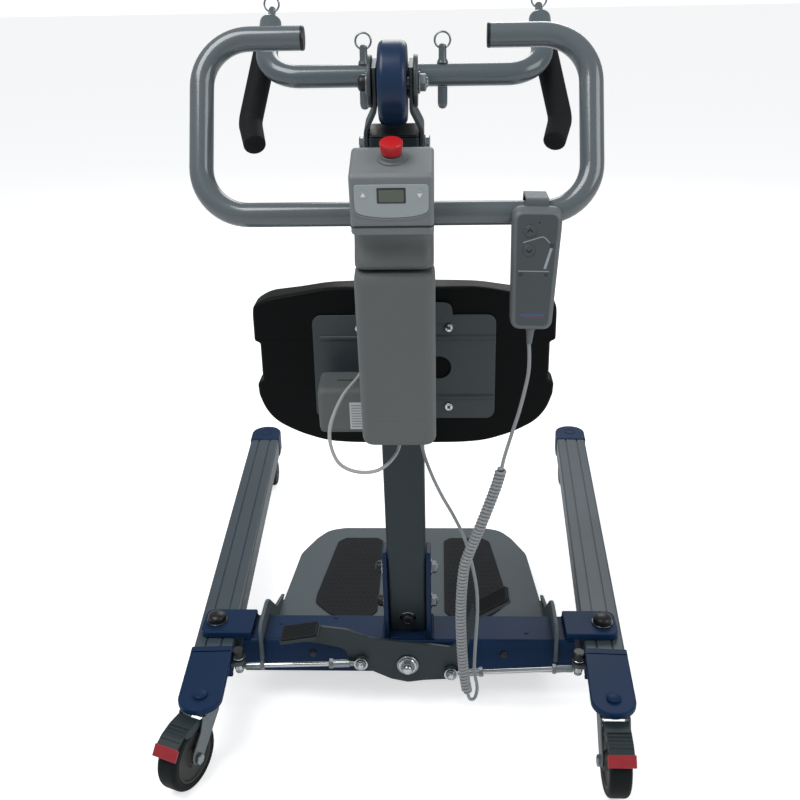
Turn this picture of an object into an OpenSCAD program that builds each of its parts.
// Sit to stand patient lift: wheeled base with opening legs, leaning mast, powered boom with a
// cow-horn spreader bar, knee pad, foot plate, push handle, control box and corded handset.
// Frame: +X to the user's right, +Y towards the patient, +Z up, origin on the floor at the centre
// of the base's length and width. Millimetres and degrees.

/* [Base] */
// Overall length, from the back of the rear wheels to the front ends of the legs
base_len = 1040; // [900:5:1300]
// Distance of each leg's pivot from the centre line
pivot_x = 306; // [280:2:360]
// Distance of the leg pivots ahead of the rear wheel axles
pivot_ahead = 218; // [200:2:260]
// Depth of the cross beam, front to back
beam_d = 70; // [60:1:80]
// Height of the cross beam
beam_h = 62; // [50:1:70]
// Height of the beam's top above the floor
beam_top = 118; // [118:1:126]
// Thickness of the lug plates that hold the legs
lug_t = 11; // [8:1:14]
// Angle that each leg opens outwards when the base is closed
leg_splay = 2.9; // [1:0.1:5]
// Width of the leg profile
leg_w = 61; // [50:1:66]
// Height of the leg profile
leg_h = 40; // [34:1:42]
// Wall of the leg profile
leg_wall = 3; // [2:0.5:5]
// Length of the blue cap at the front end of each leg
leg_cap_len = 70; // [50:2:100]

/* [Castors] */
// Diameter of the rear wheels
rear_wheel_d = 100; // [80:1:100]
// Width of the rear wheels
rear_wheel_w = 32; // [24:1:34]
// Distance of the rear axle behind its swivel
rear_trail = 45; // [36:1:50]
// Diameter of the front twin wheels
front_wheel_d = 60; // [50:1:62]
// Width of each front wheel
front_wheel_w = 18; // [12:1:20]
// Distance of the front axle behind its swivel
front_trail = 20; // [14:1:24]

/* [Mast] */
// Width of the mast's box section
mast_w = 58; // [50:1:64]
// Depth of the mast's box section
mast_d = 40; // [34:1:50]
// Wall of the mast's box section
mast_wall = 3; // [2:0.5:4]
// Length of the mast
mast_len = 806; // [700:2:900]
// Angle that the mast leans back
mast_lean = 12.5; // [8:0.5:16]
// Height of the boom's axle above the top of the mast
axle_up = 56; // [52:1:70]
// Diameter of the guide wheel in the fork on top of the mast
guide_wheel_d = 90; // [75:1:94]
// Width of the guide wheel
guide_wheel_w = 32; // [26:1:33]

/* [Boom] */
// Reach of the boom from its axle to the spreader bar
boom_reach = 347; // [300:5:420]
// Drop of the spreader bar below the boom's axle
boom_drop = 24; // [10:1:40]
// Diameter of the spreader tube
spreader_d = 32; // [28:1:35]
// Distance of each horn's bend from the centre line
horn_x = 148; // [130:2:180]
// Bend radius of the horns
horn_r = 52; // [45:1:60]
// Straight length of the horns past the bend
horn_len = 64; // [50:1:90]
// Upward slope of the horns
horn_slope = 36; // [20:1:50]
// Diameter of the foam hand grips
grip_d = 35; // [30:1:38]
// Distance of each inner sling hook from the centre line
hook_x = 56; // [45:1:90]

/* [Handle] */
// Diameter of the handle tube
handle_d = 28; // [25:0.5:32]
// Half the handle's width, to the tube's centre
handle_x = 226; // [200:2:260]
// Height of the handle frame along its own slope
handle_rise = 207; // [190:1:260]
// Bend radius of the handle frame's corners
handle_r = 56; // [45:1:70]
// Half the gap between the ends of the top tubes
handle_gap = 110; // [80:2:140]
// Forward slope of the handle frame
handle_lean = 25; // [10:1:35]

/* [Control box] */
// Width of the control box's body
box_w = 92; // [84:1:100]
// Depth of the control box
box_d = 66; // [56:1:80]
// Width of the control head
head_w = 90; // [84:1:100]
// Length of the battery pack
battery_len = 240; // [200:2:260]
// Diameter of the stop button
stop_d = 26; // [22:1:32]

/* [Knee pad] */
// Width of the knee pad
pad_w = 434; // [380:2:480]
// Height of the knee pad
pad_h = 250; // [200:2:280]
// Thickness of the knee pad
pad_t = 62; // [50:1:80]
// Width of the knee pad's back plate
plate_w = 262; // [200:2:300]
// Height of the knee pad's back plate
plate_h = 160; // [120:2:180]

/* [Foot plate] */
// Width of the foot plate at the beam
foot_w = 470; // [420:2:500]
// Length of the foot plate ahead of the beam
foot_len = 374; // [300:2:420]
// Height of the foot plate's top above the floor
foot_top = 62; // [50:1:80]
// Thickness of the foot plate
foot_t = 4; // [3:0.5:6]

/* [Hidden] */
$fn = 48;

// Clearances
gap = 0.3;      // between pieces that only touch
run = 0.05;     // radial, shaft in bore
eps = 0.01;

// Places worked out from the sizes above
rear_axle_y = -base_len / 2 + rear_wheel_d / 2;
beam_y = rear_axle_y + pivot_ahead;
beam_back = beam_y - beam_d / 2;
beam_front = beam_y + beam_d / 2;
beam_bottom = beam_top - beam_h;
beam_end = pivot_x - 46;                       // beam's end wall, clear of the opened legs
stem_back = pivot_ahead - rear_trail;          // rear swivel, behind the leg pivot
leg_front = (base_len / 2 - beam_y) / cos(leg_splay);
leg_top = beam_top - 1;
leg_bottom = leg_top - leg_h;
profile_front = leg_front - leg_cap_len;
profile_back = stem_back - rear_trail - rear_wheel_d / 2 - 12;   // behind the pivot, clear of the wheel
fork_crown = rear_wheel_d + 3;
fork_t = 3.5;
race_d = 54;
race_h = 3.5;
tongue_bottom = fork_crown + fork_t + race_h + 0.5;
tongue_top = beam_top + 3;
front_hood_top = front_wheel_d + 10;
mast_y = beam_y + 8;
mast_start = 9;                                 // mast's foot above the beam, along the mast
mast_end = mast_start + mast_len;
axle_s = mast_end + axle_up;
axle_y = mast_y - axle_s * sin(mast_lean);
axle_z = beam_top + axle_s * cos(mast_lean);
bracket_t = 7;
bracket_h = 163;
fork_plate_t = 4.5;
fork_x = guide_wheel_w / 2 + 2;                 // inner face of the fork plates
ear_x = fork_x + fork_plate_t + 0.5;            // inner face of the boom's ears
ear_t = 4.5;
boom_w = 40;
fin_y = axle_y + 101;                           // actuator pin under the boom
fin_z = axle_z - 68;
fin_x = -8;
pin_r = 5;
spreader_y = axle_y + boom_reach;
spreader_z = axle_z - boom_drop;
act_z = 460;                                    // actuator's lower pin, ahead of the mast's front face
act_y = mast_y - (act_z - beam_top) * tan(mast_lean) + mast_d / 2 / cos(mast_lean) + 29;
act_tilt = atan2(act_y - fin_y, fin_z - act_z);
act_len = norm([act_y - fin_y, fin_z - act_z]);
act_r = 18;
handle_y = -437;                                // the handle's bottom tube
handle_z = 824;
handle_s = (handle_z - beam_top) * cos(mast_lean) - (handle_y - mast_y) * sin(mast_lean);   // along the mast
box_back = -mast_d / 2 - handle_d - 4;          // back of the control box, in the mast's frame
box_face = box_back - box_d;
battery_s = 452;                                // lower end of the battery, along the mast
neck_s = battery_s + battery_len + 4;
head_s = 748;                                   // seam under the control head
head_top = 813;
head_slope = 8;
crank_y = beam_back - 20;                       // middle of the pedal plate
crank_z = 90;
crank_t = 6;
rod_y = crank_y - 10;
rod_x = 262;                                    // tie rod's outer end
rod_left = [-72, 98];                           // tie rod pins on the pedal
rod_right = [67, 80];
rod_out_z = 91;
lever_dx = pivot_x - rod_x;
lever_dy = beam_y - rod_y;
knee_y = act_y + 40;                            // back face of the knee plate
knee_z = 553;
knee_s = 498;                                   // knee carrier's sleeve, along the mast
knee_sleeve_h = 52;
hook_r = 5.5;
eye_r = 3.2;
ring_r = 11;
ring_wire = 1.5;

// Corner-rounded rectangle made of exact squares and circles
module rounded(w, d, r) {
    square([w - 2 * r, d], center = true);
    square([w, d - 2 * r], center = true);
    for (x = [-1, 1], y = [-1, 1]) translate([x * (w / 2 - r), y * (d / 2 - r)]) circle(r);
}

// Round bar between two points
module bar(p, q, d) {
    v = q - p;
    translate(p) rotate([0, acos(v[2] / norm(v)), atan2(v[1], v[0])]) cylinder(d = d, h = norm(v));
}

// Plate with its outline in X and Z, from y0 to y1
module xz_plate(points, y0, y1) {
    translate([0, y1, 0]) rotate([90, 0, 0]) linear_extrude(y1 - y0) polygon(points);
}

// Plate with its outline in Y and Z, from x0 to x1
module yz_plate(points, x0, x1) {
    translate([x0, 0, 0]) rotate([90, 0, 90]) linear_extrude(x1 - x0) polygon(points);
}

// Cylinder along X, centred on x = 0 in the YZ place given
module cross_bar(x0, x1, y, z, d) {
    translate([x0, y, z]) rotate([0, 90, 0]) cylinder(d = d, h = x1 - x0);
}

// Cylinder along Y
module fore_bar(x, y0, y1, z, d) {
    translate([x, y1, z]) rotate([90, 0, 0]) cylinder(d = d, h = y1 - y0);
}

// Hexagon nut along X
module cross_hex(x0, x1, y, z, across) {
    translate([x0, y, z]) rotate([0, 90, 0]) cylinder(d = across / cos(30), h = x1 - x0, $fn = 6);
}

// The mast's own frame: Z along the mast, Y out of its front face
module on_mast() {
    translate([0, mast_y, beam_top]) rotate([mast_lean, 0, 0]) children();
}

// A leg's own frame: origin at its pivot, Y along the leg; side is 1 on the right, -1 on the left
module on_leg(side) {
    mirror([side < 0 ? 1 : 0, 0, 0]) translate([pivot_x, beam_y, 0]) rotate(-leg_splay) children();
}

// A rear castor's own frame: origin under its swivel, wheel behind it
rear_turn = [26, 3];                            // left, right
module on_rear_castor(side) {
    on_leg(side) translate([0, -stem_back, 0]) rotate(rear_turn[side < 0 ? 0 : 1]) children();
}

front_stem = leg_front - 38;
module on_front_castor(side) {
    on_leg(side) translate([0, front_stem, 0]) rotate(leg_splay) children();
}

// The handle frame's own frame: X across, Z up its slope
module on_handle() {
    translate([0, handle_y, handle_z]) rotate([-handle_lean, 0, 0]) children();
}

// The actuator's own frame: origin at its lower pin, Z along its rod
module on_actuator() {
    translate([fin_x, act_y, act_z]) rotate([act_tilt, 0, 0]) children();
}

// The handset's own frame: its back face in the XZ plane, hanging on the handle's bottom tube
handset_x = 161;
handset_h = 148;
module on_handset() {
    translate([handset_x, handle_y - handle_d / 2 - 2.5, handle_z + 18]) rotate([0, 1.6, 0]) children();
}

module cross_beam() {
    lug_in = beam_end - 14;
    lug_out = pivot_x + 22;
    color("#26405e") union() {
        difference() {
            translate([-beam_end, beam_back, beam_bottom]) cube([2 * beam_end, beam_d, beam_h]);
            translate([-pivot_x, beam_back + 4, beam_bottom + 4]) cube([2 * pivot_x, beam_d - 8,
                beam_h - 8]);
        }
        for (side = [-1, 1]) {
            // end walls of the beam
            translate([side * (beam_end - 3) - 3, beam_back + 1, beam_bottom + 1]) cube([6, beam_d - 2,
                beam_h - 2]);
            // top and bottom lug plates with the leg's pin hole
            for (z = [beam_top, leg_bottom - 1 - lug_t]) difference() {
                translate([side * (lug_in + lug_out) / 2, beam_y, z - (z == beam_top ? eps : 0)])
                    linear_extrude(lug_t)
                    rounded(lug_out - lug_in, beam_d - 6, 7);
                translate([side * pivot_x, beam_y, z - 1]) cylinder(r = 8.2, h = lug_t + 2);
            }
        }
    }
}

module mast_bracket() {
    lean = tan(mast_lean);
    half = mast_d / 2 + 2;
    top_y = mast_y - bracket_h * lean;
    color("#2a4468") difference() {
        union() {
            for (side = [-1, 1])
                yz_plate([[beam_back + 2, beam_top + gap], [beam_front - 2, beam_top + gap],
                        [top_y + half, beam_top + bracket_h - 6], [top_y + half - 8, beam_top + bracket_h],
                        [top_y - half + 8, beam_top + bracket_h], [top_y - half, beam_top + bracket_h - 6]],
                    side > 0 ? mast_w / 2 + gap : -mast_w / 2 - gap - bracket_t,
                    side > 0 ? mast_w / 2 + gap + bracket_t : -mast_w / 2 - gap);
            translate([-mast_w / 2 - 1, beam_back + 2, beam_top + gap]) cube([mast_w + 2, beam_d - 4, 2.5]);
        }
        for (s = [55, 128]) on_mast() cross_bar(-60, 60, 0, s, 10.4);
    }
}

module frame_bolts() {
    side_x = mast_w / 2 + gap + bracket_t;
    color("#8d9296") for (s = [55, 128]) on_mast() union() {
        cross_bar(-side_x - 0.2, side_x + 0.2, 0, s, 10);
        cross_bar(-side_x - 2.2, -side_x - 0.1, 0, s, 24);
        cross_bar(-side_x - 12, -side_x - 2.2, 0, s, 19);
        cross_bar(side_x + 0.1, side_x + 2, 0, s, 22);
        cross_hex(side_x + 2, side_x + 9, 0, s, 17);
    }
    // bolt that clamps the fork to the top of the mast
    color("#b9bdbf") on_mast() union() {
        cross_bar(-mast_w / 2 - 5, mast_w / 2 + 5, 0, mast_end - 12, 7.8);
        cross_hex(-mast_w / 2 - 10, -mast_w / 2 - 5, 0, mast_end - 12, 13);
        cross_hex(mast_w / 2 + 5, mast_w / 2 + 11, 0, mast_end - 12, 13);
    }
}

module mast() {
    lug_s = (act_z - beam_top) / cos(mast_lean);
    color("#3b4549") difference() {
        union() {
            on_mast() difference() {
                translate([0, 0, mast_start]) linear_extrude(mast_len) rounded(mast_w, mast_d, 4);
                translate([0, 0, mast_start - 1]) linear_extrude(mast_len + 2)
                    rounded(mast_w - 2 * mast_wall, mast_d - 2 * mast_wall, 1.5);
            }
            // two ears that hold the actuator's lower pin
            for (x = [fin_x - 17, fin_x + 11]) difference() {
                yz_plate([[mast_y + 15 - (act_z - 40 - beam_top) * tan(mast_lean), act_z - 40],
                        [act_y + 4, act_z - 13], [act_y + 12, act_z - 6], [act_y + 12, act_z + 5],
                        [act_y + 4, act_z + 11],
                        [mast_y + 15 - (act_z + 8 - beam_top) * tan(mast_lean), act_z + 8]], x, x + 6);
                on_mast() translate([0, 0, mast_start]) linear_extrude(mast_len)
                    rounded(mast_w - 2, mast_d - 2, 3);
                cross_bar(x - 1, x + 7, act_y, act_z, 2 * pin_r + 0.4);
            }
        }
        for (s = [55, 128, mast_end - 12]) on_mast() cross_bar(-60, 60, 0, s, s > 200 ? 8.2 : 10.4);
        // socket of the lock pin
        on_mast() fore_bar(0, -mast_d, 0, 38, 11);
    }
}

module mast_cap() {
    color("#23282b") on_mast() union() {
        translate([0, 0, mast_end + gap]) linear_extrude(3) rounded(mast_w, mast_d, 4);
        translate([0, 0, mast_end - 4]) linear_extrude(4 + gap + eps)
            rounded(mast_w - 2 * mast_wall - 1, mast_d - 2 * mast_wall - 1, 1.5);
    }
}

module mast_lock_pin() {
    face = mast_d / 2;
    color("#15181a") on_mast() union() {
        fore_bar(0, -face - 8, -face - 1, 38, 20);
        fore_bar(0, -face - 1.2, 2 - face / 2, 38, 10);
    }
}

// Outline of the foot plate, seen from above
module foot_outline(inset) {
    w = foot_w / 2 - inset;
    y0 = beam_front + 3 + inset;
    y1 = beam_front + foot_len - inset;
    polygon([[-w, y0], [w, y0], [w - 22, y1 - 96], [w - 46, y1 - 40], [w - 66, y1 - 10], [w - 96, y1],
        [-w + 96, y1], [-w + 66, y1 - 10], [-w + 46, y1 - 40], [-w + 22, y1 - 96]]);
}

module foot_plate() {
    w = foot_w / 2;
    base = foot_top - foot_t;
    color("#6b787e") union() {
        translate([0, 0, base]) linear_extrude(foot_t) foot_outline(0);
        // turned-down rim
        difference() {
            translate([0, 0, base - 14]) linear_extrude(14 + eps) foot_outline(0);
            translate([0, 0, base - 15]) linear_extrude(16) foot_outline(4);
        }
        // side plates that hook over the beam
        for (side = [-1, 1])
            yz_plate([[beam_front + 130, base], [beam_front + 60, base + 34], [beam_front + 4,
                beam_top + 26],
                    [beam_front - 8, beam_top + 30], [beam_back + 4, beam_top + 30], [beam_back - 8,
                        beam_top + 20],
                    [beam_back - 9, beam_top - 34], [beam_back - 1, beam_top - 34], [beam_back - 1,
                        beam_top + 1],
                    [beam_front + 1, beam_top + 1], [beam_front + 1, base]],
                side > 0 ? w - 8 : -w + 2, side > 0 ? w - 2 : -w + 8);
    }
}

module foot_pads() {
    y0 = beam_front + 62;
    y1 = beam_front + foot_len - 42;
    color("#1c1f21") for (side = [-1, 1])
        translate([0, 0, foot_top + 0.1]) linear_extrude(2.4)
            polygon([[side * 58, y0 + 22], [side * 74, y0 + 4], [side * 100, y0], [side * 138, y0 + 16],
                [side * 164, y0 + 48], [side * 168, y0 + 70], [side * 146, y1 - 14], [side * 132, y1],
                [side * 70, y1], [side * 58, y1 - 12]]);
}

module pivot_pins() {
    z0 = leg_bottom - 1 - lug_t;
    color("#1a1d1f") for (side = [-1, 1]) translate([side * pivot_x, beam_y, 0]) union() {
        translate([0, 0, z0 - 7]) cylinder(r = 8, h = beam_top + lug_t - z0 + 7.2);
        translate([0, 0, beam_top + lug_t + 0.1]) cylinder(d = 30, h = 11);
        translate([0, 0, beam_top + lug_t + 11]) cylinder(d = 26, h = 4);
        translate([0, 0, z0 - 8]) cylinder(d = 25, h = 7.8);
    }
    // stud of the pedal, welded to the beam's back
    color("#9a9da0") union() {
        fore_bar(0, crank_y - 16, beam_back - 0.1, crank_z, 16);
        fore_bar(0, crank_y + crank_t / 2 + 0.5, beam_back - 0.1, crank_z, 26);
        fore_bar(0, crank_y - 12, crank_y - crank_t / 2 - 0.5, crank_z, 30);
        translate([0, crank_y - 16, crank_z]) sphere(d = 16);
    }
    // lower pin of the actuator
    color("#9a9da0") union() {
        cross_bar(fin_x - 19, fin_x + 19, act_y, act_z, 2 * pin_r);
        cross_bar(fin_x - 22, fin_x - 18, act_y, act_z, 15);
        cross_bar(fin_x + 18, fin_x + 22, act_y, act_z, 15);
    }
}

// Bent pipe of the handle, with its bore
module handle_profile() {
    difference() {
        circle(d = handle_d);
        circle(d = handle_d - 4);
    }
}

module handle_frame() {
    r = handle_r;
    // cheek plates that bolt the tube to the sides of the mast
    color("#5a6469") for (side = [-1, 1]) difference() {
        on_mast() translate([side > 0 ? mast_w / 2 + gap : -mast_w / 2 - gap - 4, box_back + 3,
            handle_s - 17])
            cube([4, mast_d - box_back - 20, 34]);
        cross_bar(-60, 60, handle_y, handle_z, handle_d - 1);
    }
    color("#5a6469") on_handle() union() {
        translate([-handle_x + r, 0, 0]) rotate([0, 90, 0]) linear_extrude(2 * (handle_x - r))
            handle_profile();
        for (side = [-1, 1]) mirror([side < 0 ? 1 : 0, 0, 0]) {
            translate([handle_x - r, 0, r]) rotate([90, 0, 0]) rotate([0, 0, -90])
                rotate_extrude(angle = 90) translate([r, 0]) handle_profile();
            translate([handle_x, 0, r]) linear_extrude(handle_rise - 2 * r) handle_profile();
            translate([handle_x - r, 0, handle_rise - r]) rotate([90, 0, 0])
                rotate_extrude(angle = 90) translate([r, 0]) handle_profile();
            translate([handle_gap, 0, handle_rise]) rotate([0, 90, 0])
                linear_extrude(handle_x - r - handle_gap) handle_profile();
        }
    }
}

module handle_end_caps() {
    color("#17191b") on_handle() for (side = [-1, 1]) union() {
        translate([side * (handle_gap - 1.6), 0, handle_rise]) rotate([0, 90, 0])
            cylinder(d = handle_d, h = 3, center = true);
        translate([side * (handle_gap + 5), 0, handle_rise]) rotate([0, 90, 0])
            cylinder(d = handle_d - 4.6, h = 12, center = true);
    }
}

// Control box: the fixed housing behind the battery and the neck between battery and head
module control_box() {
    color("#9a9c9f") union() {
        on_mast() difference() {
            union() {
                translate([-box_w / 2 + 4, box_back - 22, battery_s + 6]) cube([box_w - 8, 22,
                    head_s - battery_s - 6.3]);
                translate([-box_w / 2 + 1, box_face + 12, neck_s]) cube([box_w - 2, box_d - 12,
                    head_s - neck_s - gap]);
            }
            // scooped front of the neck
            cross_bar(-box_w, box_w, box_face + 4, neck_s + 24, 36);
        }
        // two blocks that carry it on the mast, one on each side of the handle's tube
        on_mast() for (s = [neck_s - 30, battery_s + 160])
            translate([-22, box_back - eps, s]) cube([44, -mast_d / 2 - gap - box_back, 26]);
    }
}

module battery_pack() {
    color("#a3a4a7") on_mast() difference() {
        translate([0, (box_face + box_back - 22.4) / 2, battery_s]) linear_extrude(battery_len)
            rounded(box_w, box_d - 22.4, 9);
        translate([0, box_face - 1, battery_s + 42]) cube([box_w + 2, 3, 0.8], center = true);
    }
}

module control_head() {
    color("#96999c") on_mast() difference() {
        translate([-head_w / 2, 0, 0]) rotate([90, 0, 90]) linear_extrude(head_w)
            polygon([[box_face + 4, head_s - 6], [box_face, head_s], [box_face, head_top - 4],
                [box_face + 5, head_top], [box_face + box_d, head_top + (box_d - 5) * tan(head_slope)],
                [box_face + box_d, head_s], [box_face + 11.6, head_s], [box_face + 11, head_s - 6]]);
        // seats of the window and the two keys
        translate([-15, box_face - 1, head_s + 34]) cube([30, 2.2, 17]);
        for (x = [-30, 30]) fore_bar(x, box_face - 1, box_face + 3, head_s + 43, 10.6);
        // hole of the stop button's stem
        in_stop() translate([0, 0, -14]) cylinder(d = 12.4, h = 30);
    }
}

module display_window() {
    color("#3c4640") on_mast() translate([-14.8, box_face - 0.2, head_s + 34.2]) cube([29.6, 1.2, 16.6]);
}

module key(x, d) {
    on_mast() fore_bar(x, box_face - 1.4, box_face + 1.4, head_s + 43, d);
}
module head_up_button() { color("#c9ccd0") key(-30, 10); }
module head_down_button() { color("#c9ccd0") key(30, 10); }

// Place of the stop button: on the head's sloping top
module in_stop() {
    translate([0, box_face + 33, head_top + 28 * tan(head_slope)]) rotate([head_slope, 0, 0]) children();
}
module on_stop() { on_mast() in_stop() children(); }
module stop_collar() {
    color("#56595c") on_stop() difference() {
        translate([0, 0, gap]) cylinder(d = stop_d + 6, h = 6);
        translate([0, 0, -1]) cylinder(d = 12.4, h = 9);
    }
}
module stop_button() {
    color("#b5232b") on_stop() union() {
        translate([0, 0, 11]) cylinder(d = stop_d, h = 9);
        translate([0, 0, 20 - eps]) cylinder(d = stop_d - 2, h = 1.5);
        translate([0, 0, -6]) cylinder(d = 12, h = 17.1);
    }
}

// Fork of two cranked plates bolted to the sides of the mast, holding the guide wheel and boom
module mast_fork() {
    color("#59646a") on_mast() difference() {
        for (side = [-1, 1]) mirror([side < 0 ? 1 : 0, 0, 0])
            translate([0, mast_d / 2 - 2, 0]) rotate([90, 0, 0]) linear_extrude(mast_d - 4)
                polygon([[mast_w / 2 + gap, mast_end - 24], [mast_w / 2 + gap + fork_plate_t,
                    mast_end - 24],
                    [mast_w / 2 + gap + fork_plate_t, mast_end + 8], [fork_x + fork_plate_t, axle_s - 26],
                    [fork_x + fork_plate_t, axle_s + 22], [fork_x, axle_s + 22], [fork_x, axle_s - 27],
                    [mast_w / 2 + gap, mast_end + 6]]);
        cross_bar(-60, 60, 0, axle_s, 12.4);
        cross_bar(-60, 60, 0, mast_end - 12, 8.2);
    }
}

module boom_axle() {
    out = ear_x + ear_t + 0.5;
    color("#b4b7b9") union() {
        cross_bar(-out - 4, out + 4, axle_y, axle_z, 12);
        cross_bar(out, out + 2, axle_y, axle_z, 24);
        cross_hex(out + 2, out + 9, axle_y, axle_z, 18);
        cross_bar(-out - 2, -out, axle_y, axle_z, 24);
        cross_bar(-out - 12, -out - 2, axle_y, axle_z, 19);
    }
}

module guide_wheel() {
    color("#1f3d73") difference() {
        cross_bar(-guide_wheel_w / 2, guide_wheel_w / 2, axle_y, axle_z, guide_wheel_d);
        cross_bar(-guide_wheel_w, guide_wheel_w, axle_y, axle_z, 12 + 2 * run);
    }
}

boom_slope = atan2(-boom_drop, boom_reach);
// The ear's lower edge is cut back so that it passes the cranked fork when the boom is low
module ear_outline() {
    circle(d = 52);
    intersection() {
        circle(d = 60);
        translate([-30, -14]) square([60, 44]);
    }
    translate([0, -14]) square([guide_wheel_d / 2 + 32, 28]);
}
module boom_arm() {
    neck_y = guide_wheel_d / 2 + 8;
    color("#4b565b") difference() {
        union() {
            translate([0, axle_y, axle_z]) rotate([boom_slope, 0, 0]) union() {
                // box tube, and the block that joins it to its ears
                translate([-boom_w / 2, neck_y, -19]) cube([boom_w,
                    boom_reach - guide_wheel_d / 2 - 22, 38]);
                translate([-ear_x - 2, neck_y, -18]) cube([2 * ear_x + 4, 30, 36]);
                // ears on either side of the fork
                for (side = [-1, 1]) translate([side > 0 ? ear_x : -ear_x - ear_t, 0, 0]) rotate([90,
                    0, 90])
                    linear_extrude(ear_t) ear_outline();
            }
            // fin for the actuator's pin
            yz_plate([[fin_y - 24, axle_z - 14], [fin_y + 60, axle_z - 14], [fin_y + 16, fin_z - 8],
                [fin_y + 6, fin_z - 13], [fin_y - 6, fin_z - 13], [fin_y - 14, fin_z - 4]], fin_x - 3,
                    fin_x + 3);
        }
        cross_bar(-60, 60, axle_y, axle_z, 12 + 2 * run);
        // the actuator's upper pin passes through a wide hole
        cross_bar(fin_x - 10, fin_x + 10, fin_y, fin_z, 2 * pin_r + 3);
        // seat of the spreader tube
        cross_bar(-60, 60, spreader_y, spreader_z, spreader_d + 2 * gap);
    }
}

// One side of the spreader's horn, in its sloping plane
module horn_frame() {
    translate([0, spreader_y, spreader_z]) rotate([horn_slope, 0, 0]) children();
}

horn_end = horn_r + horn_len;
grip_core = 22;                                 // steel stem inside each hand grip
grip_top = [horn_x + horn_r + 1, spreader_y + 84 * cos(horn_slope), spreader_z + 84 * sin(horn_slope)];
grip_mid = [228, spreader_y + 18, spreader_z - 66];
grip_end = [217, spreader_y - 22, spreader_z - 88];

module spreader_bar() {
    color("#66757c") union() {
        horn_frame() translate([-horn_x, 0, 0]) rotate([0, 90, 0]) linear_extrude(2 * horn_x)
            circle(d = spreader_d);
        for (side = [-1, 1]) mirror([side < 0 ? 1 : 0, 0, 0]) {
            horn_frame() union() {
                translate([horn_x, horn_r, 0]) rotate([0, 0, -90]) rotate_extrude(angle = 90)
                    translate([horn_r, 0]) circle(d = spreader_d);
                translate([horn_x + horn_r, horn_end, 0]) rotate([90, 0, 0]) linear_extrude(horn_len)
                    circle(d = spreader_d);
            }
            bar(grip_top, grip_mid, grip_core);
            translate(grip_mid) sphere(d = grip_core + 1);
            bar(grip_mid, grip_end, grip_core);
        }
    }
}

module hand_grips() {
    v = (grip_mid - grip_top) / norm(grip_mid - grip_top);
    start = grip_top + 26 * v;
    w = (grip_end - grip_mid) / norm(grip_end - grip_mid);
    color("#141617") for (side = [-1, 1]) mirror([side < 0 ? 1 : 0, 0, 0]) difference() {
        union() {
            bar(start, grip_mid, grip_d);
            translate(grip_mid) sphere(d = grip_d + 1);
            bar(grip_mid, grip_end + 5 * w, grip_d);
        }
        bar(grip_top, grip_mid, grip_core + 2 * gap);
        translate(grip_mid) sphere(d = grip_core + 1 + 2 * gap);
        bar(grip_mid, grip_end + gap * w, grip_core + 2 * gap);
        // the foam ends flush with the underside of the horn's tube
        horn_frame() translate([horn_x, 0, -spreader_d / 2 - gap]) cube([2 * horn_r, 2 * horn_end,
            4 * spreader_d]);
    }
}

// Sling hooks: inner pins stand across the bar, outer pins close the ends of the horns
module sling_hooks() {
    color("#8f9699") for (side = [-1, 1]) mirror([side < 0 ? 1 : 0, 0, 0]) {
        difference() {
            union() {
                translate([hook_x, spreader_y, spreader_z + spreader_d / 2 + gap]) cylinder(r1 = 8,
                    r2 = hook_r, h = 6);
                translate([hook_x, spreader_y, spreader_z + spreader_d / 2 + 6]) cylinder(r = hook_r,
                    h = 20);
            }
            translate([hook_x - 10, spreader_y, spreader_z + spreader_d / 2 + 20]) rotate([0, 90, 0])
                cylinder(r = eye_r, h = 20);
        }
        translate([hook_x, spreader_y, spreader_z - spreader_d / 2 - gap]) mirror([0, 0, 1]) union() {
            cylinder(r = 7, h = 24);
            translate([0, 0, 24]) sphere(r = 7);
        }
        difference() {
            horn_frame() translate([horn_x + horn_r, horn_end + gap, 0]) rotate([-90, 0, 0]) union() {
                cylinder(d1 = spreader_d, d2 = 16, h = 9);
                cylinder(r = hook_r, h = 34);
            }
            horn_frame() translate([horn_x + horn_r - 10, horn_end + 26, 0]) rotate([0, 90, 0])
                cylinder(r = eye_r, h = 20);
        }
    }
}

// Wire ring that keeps a sling loop on its hook; p is where it passes through the pin
module keeper(p, up) {
    translate(p + [0, 0, up * ring_r]) rotate([90, 0, 0]) rotate_extrude() translate([ring_r, 0])
        circle(ring_wire);
}
outer_eye = [horn_x + horn_r, spreader_y + (horn_end + 26) * cos(horn_slope),
    spreader_z + (horn_end + 26) * sin(horn_slope)];
inner_eye = [hook_x, spreader_y, spreader_z + spreader_d / 2 + 20];
function flip(p) = [-p[0], p[1], p[2]];
module keeper_outer_left() { color("#9aa1a4") keeper(flip(outer_eye), 1); }
module keeper_inner_left() { color("#9aa1a4") keeper(flip(inner_eye), 1); }
module keeper_inner_right() { color("#9aa1a4") keeper(inner_eye, 1); }
module keeper_outer_right() { color("#9aa1a4") keeper(outer_eye, 1); }

// Actuator: tube, gear head and motor housing, hung between the mast's ears
module actuator_body() {
    color("#a5a6a8") on_actuator() difference() {
        union() {
            cross_bar(-10.5, 10.5, 0, 0, 26);
            translate([-10.5, -13, 0]) cube([21, 26, 22]);
            translate([-26, -act_r, 24]) cube([44, 2 * act_r, 12]);
            // motor beside the mast, gear head in front of it
            translate([-108, -46, 34]) cube([82, 62, 72]);
            translate([-26 - eps, -26, 34]) cube([44, 48, 72]);
            translate([0, 0, 100]) cylinder(r = act_r, h = act_len - 178);
        }
        cross_bar(-20, 20, 0, 0, 2 * pin_r + 2 * run);
        // bore of the rod
        translate([0, 0, 60]) cylinder(r = 10 + run, h = act_len);
    }
}

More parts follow.
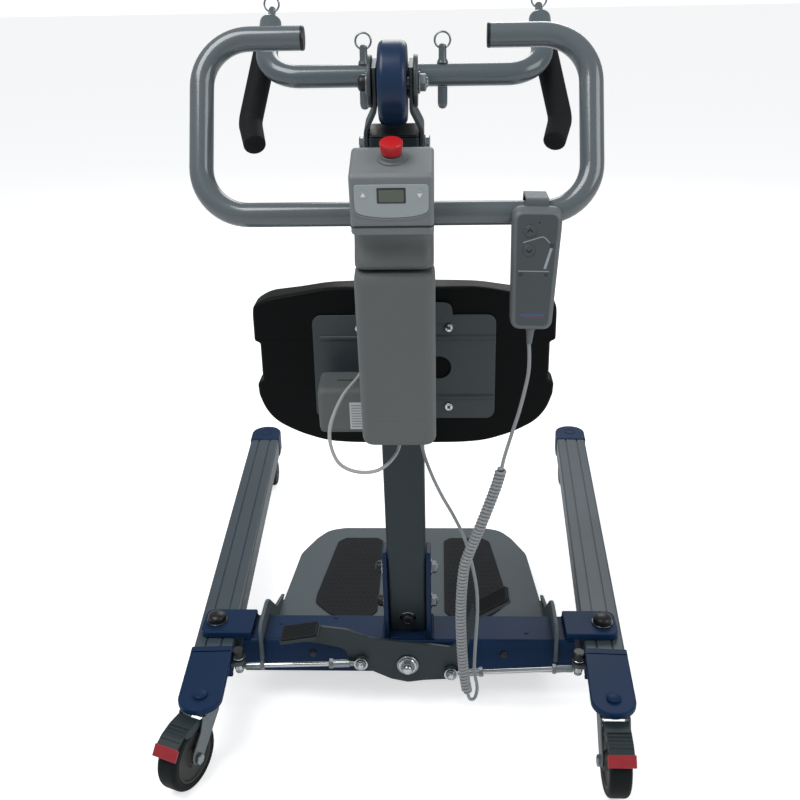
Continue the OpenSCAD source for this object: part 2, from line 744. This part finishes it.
module actuator_rod() {
    color("#c3c6c8") on_actuator() difference() {
        union() {
            translate([0, 0, 190]) cylinder(r = 10, h = act_len - 223);
            translate([-8.5, -10, act_len - 34]) cube([17, 20, 34]);
            cross_bar(-8.5, 8.5, 0, act_len, 20);
            cross_bar(-12, 12, 0, act_len, 2 * pin_r);
        }
        // slot for the boom's fin, deep enough for the fin to turn in
        translate([-3.6, -14, act_len - 22]) cube([7.2, 28, 40]);
    }
}

// Knee pad carrier: sleeve that slides on the mast, with two arms past the actuator
module knee_carrier() {
    arm_x = 37;
    y1 = knee_y - 0.3;
    mast_front = mast_y - knee_s * sin(mast_lean) + mast_d / 2;
    color("#4a5458") union() {
        on_mast() translate([0, 0, knee_s]) linear_extrude(knee_sleeve_h) difference() {
            rounded(mast_w + 12, mast_d + 12, 5);
            rounded(mast_w + 1, mast_d + 1, 4);
        }
        for (side = [-1, 1]) translate([side > 0 ? mast_w / 2 + 0.5 + 5 - 4 : -mast_w / 2 - 5.5,
            mast_front - 14,
                knee_s * cos(mast_lean) + beam_top + 8]) cube([4, y1 - mast_front + 10, 40]);
        translate([0, y1 - 4, knee_s * cos(mast_lean) + beam_top + 8]) rotate([90, 0, 0])
            translate([0, 25, -4]) linear_extrude(4) rounded(138, 30, 12);
    }
}

module knee_plate() {
    color("#5d686c") difference() {
        translate([0, knee_y + 3, knee_z]) rotate([90, 0, 0]) linear_extrude(3) rounded(plate_w,
            plate_h, 10);
        for (x = [-50, 50]) fore_bar(x, knee_y - 1, knee_y + 4, knee_z, 34);
    }
    // four chrome screws
    color("#c8cccd") for (x = [-64, 64], z = [-61, 61])
        fore_bar(x, knee_y - 4, knee_y - 0.1, knee_z + z, 12);
}

module knee_pad() {
    y0 = knee_y + 3.3;
    w = pad_w / 2;
    h = pad_h / 2;
    color("#131516") difference() {
        translate([0, y0 + pad_t, knee_z]) rotate([90, 0, 0]) linear_extrude(pad_t) hull() {
            for (side = [-1, 1]) {
                translate([side * (w - 22), h - 42]) circle(22, $fn = 32);
                translate([side * (w - 110), h - 14]) circle(14, $fn = 32);
                translate([side * (w - 20), -h + 90]) circle(20, $fn = 32);
                translate([side * (w - 58), -h + 44]) circle(30, $fn = 32);
                translate([side * (w - 120), -h + 40]) circle(40, $fn = 32);
            }
        }
        // hollows for the knees
        for (side = [-1, 1]) translate([side * 108, y0 + pad_t + 62, knee_z - 200]) cylinder(r = 92,
            h = 400);
        // side notches
        for (side = [-1, 1]) translate([side * (w + 2), y0 + pad_t / 2, knee_z + 6]) cube([16,
            pad_t + 2, 62], center = true);
    }
}

// Pedal that opens and closes the legs: a bell crank on the stud
pedal_pad = [[-162, 158, 10], [128, 214, 32]];  // x, z and tilt of the two treads
module spread_pedal() {
    y0 = crank_y - crank_t / 2;
    y1 = crank_y + crank_t / 2;
    color("#4d585d") difference() {
        union() {
            translate([0, y1, 0]) rotate([90, 0, 0]) linear_extrude(crank_t) union() {
                polygon([[-132, 159], [-92, 152], [-60, 138], [-14, 132], [40, 126], [66, 122], [84,
                    142], [106, 190],
                    [112, 188], [94, 128], [86, 92], [84, 72], [60, 62], [26, 60], [0, 56], [-26, 62],
                        [-58, 78],
                    [-90, 90], [-94, 118], [-134, 128]]);
                // gussets under the treads
                polygon([[94, 176], [148, 222], [150, 226], [98, 198]]);
                polygon([[-188, 150], [-130, 158], [-130, 130], [-168, 132]]);
            }
            for (p = pedal_pad) translate([p[0], y1 - 21, p[1]]) rotate([0, -p[2], 0]) cube([60, 40,
                5], center = true);
            // studs of the tie rods
            for (p = [rod_left, rod_right]) fore_bar(p[0], rod_y - 10, y0 + eps, p[1], 8);
            for (p = [rod_left, rod_right]) fore_bar(p[0], rod_y - 10, rod_y - 5.6, p[1], 15);
        }
        fore_bar(0, y0 - 1, y1 + 1, crank_z, 16 + 2 * run);
    }
    // rubber treads
    color("#1b1e20") for (p = pedal_pad) translate([p[0], y1 - 20, p[1]]) rotate([0, -p[2], 0])
        translate([0, 0, 5]) cube([56, 36, 4], center = true);
}

// Tie rod with an eye at each end; its outer stud sits just under the leg's lever
module tie_rod(side, inner) {
    outer_x = side * rod_x;
    color("#c4c7c9") union() {
        difference() {
            fore_bar(inner[0], rod_y - 5, rod_y + 5, inner[1], 22);
            fore_bar(inner[0], rod_y - 6, rod_y + 6, inner[1], 9.4);
        }
        bar([inner[0] + side * 9.5, rod_y, inner[1] + 9.5 * (rod_out_z - inner[1])
            / abs(outer_x - inner[0])],
            [outer_x - side * 6, rod_y, rod_out_z], 8);
        translate([outer_x, rod_y, rod_out_z - 5]) cylinder(d = 14, h = 10);
        translate([outer_x, rod_y, rod_out_z - 11]) cylinder(d = 12, h = 6);
    }
}
module tie_rod_left() { tie_rod(-1, rod_left); }
module tie_rod_right() { tie_rod(1, rod_right); }

// Leg: hollow grooved profile, with the pivot's bore
module leg_profile() {
    difference() {
        rounded(leg_w, leg_h, 3);
        rounded(leg_w - 2 * leg_wall, leg_h - 2 * leg_wall, 1);
        for (x = [-leg_w / 5, leg_w / 5]) translate([x, leg_h / 2]) square([3, 2.4], center = true);
    }
}
module leg(side) {
    color("#5f6b73") on_leg(side) difference() {
        union() {
            translate([0, profile_front, (leg_top + leg_bottom) / 2]) rotate([90, 0, 0])
                linear_extrude(profile_front + profile_back) leg_profile();
            // bush of the pivot
            translate([0, 0, leg_bottom + 1]) cylinder(r = 14, h = leg_h - 2);
        }
        translate([0, 0, leg_bottom - 1]) cylinder(r = 8 + run, h = leg_h + 2);
    }
}
module leg_left() { leg(-1); }
module leg_right() { leg(1); }

// Leg ends: front cap over the front castor, rear tongue over the rear castor, and the tie rod's lever
module leg_ends(side) {
    end_w = leg_w + 3;
    cos_s = cos(leg_splay);
    sin_s = sin(leg_splay);
    pin_x = -lever_dx * cos_s + lever_dy * sin_s;
    pin_y = -lever_dx * sin_s - lever_dy * cos_s;
    color("#26405e") on_leg(side) difference() {
        union() {
            // front cap
            translate([0, 0, leg_bottom - 2]) linear_extrude(leg_h + 4) union() {
                translate([-end_w / 2, profile_front + gap]) square([end_w, leg_cap_len - end_w / 2 - gap]);
                translate([0, leg_front - end_w / 2]) circle(d = end_w);
            }
            // rear tongue and its end block
            translate([0, 0, tongue_bottom]) linear_extrude(tongue_top - tongue_bottom) union() {
                translate([-end_w / 2, -stem_back]) square([end_w, stem_back - profile_back - gap]);
                translate([0, -stem_back]) circle(d = end_w);
            }
            // its thin lap on top of the leg
            translate([-end_w / 2, -profile_back - 4, leg_top + gap])
                cube([end_w, 14, tongue_top - leg_top - gap]);
            translate([-leg_w / 2, -profile_back - 8, leg_bottom - 2])
                cube([leg_w, 8 - gap, tongue_top - leg_bottom + 2]);
        }
        translate([0, -stem_back, tongue_bottom - 1]) cylinder(r = 6.1, h = 30);
        translate([0, front_stem, leg_bottom - 3]) cylinder(r = 5.1, h = 30);
    }
    // lever and its black bush
    color("#2b3236") on_leg(side) union() {
        translate([pin_x, pin_y, rod_out_z + 7]) cylinder(d = 19.4, h = 6);
        translate([pin_x, pin_y - 13, rod_out_z + 7]) cube([-leg_w / 2 - gap - pin_x, 26, 6]);
        translate([pin_x, pin_y, rod_out_z + 13 - eps]) cylinder(d = 18, h = 18);
        translate([pin_x, pin_y, rod_out_z + 18]) cylinder(d = 19.4, h = 3);
    }
}
module leg_ends_left() { leg_ends(-1); }
module leg_ends_right() { leg_ends(1); }

module rear_fork(side) {
    axle_h = rear_wheel_d / 2;
    plate_x = rear_wheel_w / 2 + 2.5;
    color("#9aa0a3") on_rear_castor(side) difference() {
        union() {
            translate([0, 0, fork_crown]) cylinder(d = race_d - 4, h = fork_t);
            translate([-plate_x - 3, -22, fork_crown]) cube([2 * plate_x + 6, 36, fork_t]);
            translate([0, 0, fork_crown + fork_t - eps]) cylinder(d = race_d, h = race_h);
            translate([0, 0, fork_crown + fork_t]) cylinder(r = 6, h = race_h + 12);
            for (s = [-1, 1]) union() {
                yz_plate([[14, fork_crown + fork_t], [14, fork_crown - 6], [-rear_trail + 12, axle_h - 4],
                        [-rear_trail - 4, axle_h - 11], [-rear_trail - 12, axle_h - 2],
                            [-rear_trail - 10, axle_h + 10],
                        [-34, fork_crown - 18], [-24, fork_crown + fork_t]],
                    s > 0 ? plate_x : -plate_x - 3, s > 0 ? plate_x + 3 : -plate_x);
            }
            cross_bar(-plate_x - 8, plate_x + 8, -rear_trail, axle_h, 9.8);
            for (s = [-1, 1]) cross_hex(s > 0 ? plate_x + 3 : -plate_x - 8,
                s > 0 ? plate_x + 8 : -plate_x - 3,
                -rear_trail, axle_h, 15);
        }
    }
}
module rear_fork_left() { rear_fork(-1); }
module rear_fork_right() { rear_fork(1); }

module rear_wheel(side) {
    r = rear_wheel_d / 2;
    w = rear_wheel_w / 2;
    color("#2c3032") on_rear_castor(side) translate([0, -rear_trail, r]) rotate([0, 90, 0]) rotate_extrude()
        polygon([[4.95, -w - 1.5], [14, -w - 1.5], [15, -w + 3], [r - 12, -w + 3], [r - 10, -w + 1],
            [r - 4, -w + 1],
            [r - 1, -w + 5], [r, 0], [r - 1, w - 5], [r - 4, w - 1], [r - 10, w - 1], [r - 12, w - 3],
                [15, w - 3],
            [14, w + 1.5], [4.95, w + 1.5]]);
}
module rear_wheel_left() { rear_wheel(-1); }
module rear_wheel_right() { rear_wheel(1); }

// Brake pedal: grey treadle with a red toe, pressed down onto the tyre
brake_pivot = [-26, fork_crown - 4];
module brake_pedal(side) {
    x = rear_wheel_w / 2 + 1.5;
    color("#8e9497") on_rear_castor(side) union() {
        yz_plate([[-29, fork_crown + 4], [-29, fork_crown + 1], [-52, fork_crown], [-69, fork_crown - 4],
            [-82, fork_crown - 12], [-84, fork_crown - 8], [-70, fork_crown + 0.5], [-52,
                fork_crown + 4]], -x, x);
        for (s = [-1, 1]) yz_plate([[brake_pivot[0] + 5, brake_pivot[1] + 3.4], [brake_pivot[0] + 5,
            brake_pivot[1] - 5],
            [-50, fork_crown - 12], [-64, fork_crown - 6], [-62, fork_crown], [-40, fork_crown + 2]],
            s > 0 ? x - 0.8 : -x - 0.2, s > 0 ? x + 0.2 : -x + 0.8);
    }
    color("#b02129") on_rear_castor(side)
        yz_plate([[-84.4, fork_crown - 7.6], [-82.2, fork_crown - 12.2], [-91, fork_crown - 25], [-94,
            fork_crown - 22]],
            -x - 2, x + 2);
}
module brake_pedal_left() { brake_pedal(-1); }
module brake_pedal_right() { brake_pedal(1); }

module front_fork(side) {
    r = front_wheel_d / 2;
    color("#1b1e20") on_front_castor(side) union() {
        difference() {
            union() {
                translate([-4, -front_trail - 8, r - 8]) cube([8, front_trail + 8, r + 12]);
                cylinder(r = 11, h = front_hood_top - 3);
                translate([-22, -front_trail - 22, front_wheel_d + 1.5]) cube([44, front_trail + 30, 5]);
            }
            translate([0, 0, -1]) cylinder(r = 12, h = r - 7);
            for (s = [-1, 1]) translate([s > 0 ? 4.6 : -5 - front_wheel_w, -front_trail, r]) rotate([0,
                90, 0])
                cylinder(r = r + 1.2, h = front_wheel_w + 0.4);
        }
        cross_bar(-3 - front_wheel_w, 3 + front_wheel_w, -front_trail, r, 8);
        translate([0, 0, front_hood_top - 4]) cylinder(r = 14, h = leg_bottom - 2.3 - front_hood_top + 4);
        translate([0, 0, front_hood_top - 4]) cylinder(r = 5, h = leg_bottom + 18 - front_hood_top + 4);
    }
}
module front_fork_left() { front_fork(-1); }
module front_fork_right() { front_fork(1); }

module front_wheels(side) {
    r = front_wheel_d / 2;
    color("#303436") on_front_castor(side) for (s = [-1, 1]) difference() {
        cross_bar(s > 0 ? 4.8 : -4.8 - front_wheel_w, s > 0 ? 4.8 + front_wheel_w : -4.8, -front_trail,
            r, front_wheel_d);
        cross_bar(-60, 60, -front_trail, r, 8 + 2 * run);
    }
}
module front_wheels_left() { front_wheels(-1); }
module front_wheels_right() { front_wheels(1); }

// Handset, hung on the handle by a hook
module handset_case() {
    color("#4f565b") on_handset() difference() {
        union() {
            translate([0, -22, -handset_h]) hull() {
                translate([-24, 0, 0]) cube([48, 19, 12]);
                translate([-28, 0, handset_h - 36]) cube([56, 22, 30]);
            }
            // hook over the tube
            translate([-13, -6, -12]) cube([26, 6, 12.5]);
            translate([-13, -4, 0]) cube([26, handle_d + 12, 3]);
            translate([-13, handle_d + 5, -12]) cube([26, 3, 12.5]);
        }
        for (z = [-31, -53]) fore_bar(-8, -23, -17, z, 14.6);
    }
}
module handset_key(z) { on_handset() fore_bar(-8, -24, -18.5, z, 14); }
module handset_up_button() { color("#2a2f33") handset_key(-31); }
module handset_down_button() { color("#2a2f33") handset_key(-53); }

// Curves of the leads: a smooth curve through chosen points, swept as a round tube
function smooth(p, i, t) = let (
        n = len(p) - 1, a = p[max(i - 1, 0)], b = p[i], c = p[min(i + 1, n)], d = p[min(i + 2, n)])
    0.5 * (2 * b + (c - a) * t + (2 * a - 5 * b + 4 * c - d) * t * t + (3 * b - a - 3 * c + d) * t * t * t);
function line(p, k) = [for (i = [0:len(p) - 2], j = [0:k - 1]) smooth(p, i, j / k), p[len(p) - 1]];
function unit(v) = v / norm(v);
// Side vector of each ring, turned as little as possible from one ring to the next
function carry(p, i, u) = let (t = unit(p[min(i + 1, len(p) - 1)] - p[max(i - 1, 0)])) unit(u - (u * t)
    * t);
function sides(p, i, u) = i >= len(p) ? [] : let (v = carry(p, i, u)) concat([v], sides(p, i + 1, v));
module lead(points, d, k, n) {
    p = line(points, k);
    u = sides(p, 0, [0.98, 0.17, 0.05]);
    m = len(p);
    rings = [for (i = [0:m - 1]) let (t = unit(p[min(i + 1, m - 1)] - p[max(i - 1, 0)]), w = cross(t, u[i]))
        for (j = [0:n - 1]) p[i] + d / 2 * (cos(360 * j / n) * u[i] + sin(360 * j / n) * w)];
    walls = [for (i = [0:m - 2], j = [0:n - 1]) let (a = i * n + j, b = i * n + (j + 1) % n) [a, a + n,
        b + n, b]];
    polyhedron(rings, concat([[for (j = [0:n - 1]) j]], walls, [[for (j = [0:n - 1]) m * n - 1 - j]]));
}

cord_d = 5;
coil_d = 15;
cord_top = [[156, -464, 674], [157, -465, 655], [156, -465, 632], [148, -464, 590], [139, -463, 556],
    [131, -461, 524],
    [128, -460, 508]];
coil_line = [[128, -460, 508], [121, -460, 480], [106, -460, 434], [94, -460, 400], [83, -460, 366],
    [79, -460, 325],
    [78, -460, 280], [80, -460, 230], [83, -460, 190], [88, -460, 158]];
cord_back = [[88, -460, 158], [92, -458, 146], [99, -450, 143], [102, -441, 154], [98, -437, 180], [99,
    -437, 225],
    [101, -438, 280], [98, -438, 325], [85, -438, 385], [70, -437, 422], [52, -434, 456], [38, -427, 486],
    [28, -411, 512], [24, -404, 553]];
cable_line = [[-46, -262, 573], [-46, -284, 592], [-46, -330, 606], [-47, -375, 613], [-52, -408, 610],
    [-68, -430, 597],
    [-80, -442, 577], [-87, -449, 555], [-86, -450, 531], [-76, -449, 507], [-54, -447, 495], [-28,
        -442, 495],
    [-9, -426, 505], [-1, -412, 520], [0, -404, 553]];

module handset_strain_relief() {
    color("#3a4044") on_handset() translate([0, -11, -handset_h - gap]) mirror([0, 0, 1])
        cylinder(d1 = 12, d2 = 8, h = 20);
}
module handset_cord() { color("#4c5256") lead(cord_top, cord_d, 4, 8); }
module handset_coil() { color("#4c5256") lead(coil_line, coil_d, 4, 12); }
module handset_return_cord() { color("#4c5256") lead(cord_back, cord_d, 4, 8); }
module actuator_cable() { color("#9b9da0") lead(cable_line, 5, 4, 8); }

cross_beam();
mast_bracket();
frame_bolts();
mast();
mast_cap();
foot_plate();
foot_pads();
pivot_pins();
handle_frame();
handle_end_caps();
control_box();
control_head();
display_window();
stop_collar();
mast_fork();
boom_axle();
handset_case();
handset_strain_relief();
handset_cord();
handset_coil();
handset_return_cord();
actuator_cable();
mast_lock_pin();
battery_pack();
stop_button();
head_up_button();
head_down_button();
handset_up_button();
handset_down_button();
guide_wheel();
boom_arm();
spreader_bar();
sling_hooks();
keeper_outer_left();
keeper_inner_left();
keeper_inner_right();
keeper_outer_right();
hand_grips();
actuator_body();
actuator_rod();
knee_carrier();
knee_plate();
knee_pad();
spread_pedal();
tie_rod_left();
tie_rod_right();
leg_left();
leg_right();
leg_ends_left();
leg_ends_right();
rear_fork_left();
rear_fork_right();
rear_wheel_left();
rear_wheel_right();
brake_pedal_left();
brake_pedal_right();
front_fork_left();
front_fork_right();
front_wheels_left();
front_wheels_right();
